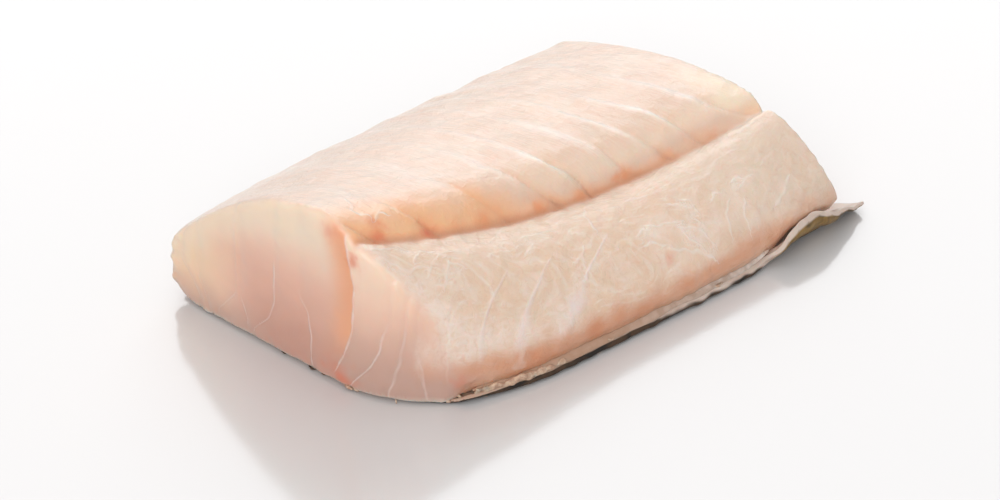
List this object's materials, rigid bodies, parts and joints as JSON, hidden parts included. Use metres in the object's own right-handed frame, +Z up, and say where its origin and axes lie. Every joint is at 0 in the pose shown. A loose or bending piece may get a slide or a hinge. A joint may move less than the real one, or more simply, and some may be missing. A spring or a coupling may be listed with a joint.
{
  "type": "raw cod fillet portion",
  "caption": "Skin-on portion cut across a thick white fish fillet: a high loin and a rounded front lobe parted by a groove, lying on a thin sheet of skin with a small flap.",
  "frame": {"origin": "centre of the box's base, on the surface that the skin lies on", "axes": "+X along the fish from the thick near cut to the thin far cut, +Y across towards the back edge, +Z up"},
  "size_m": [0.1293, 0.0809, 0.0378],
  "materials": {
    "flesh": "wet, slightly translucent raw white fish",
    "skin": "moist mottled fish skin with a pale inner layer"
  },
  "bodies": {
    "root": {"flesh": "flesh", "skin": "skin"}
  },
  "joints": []
}
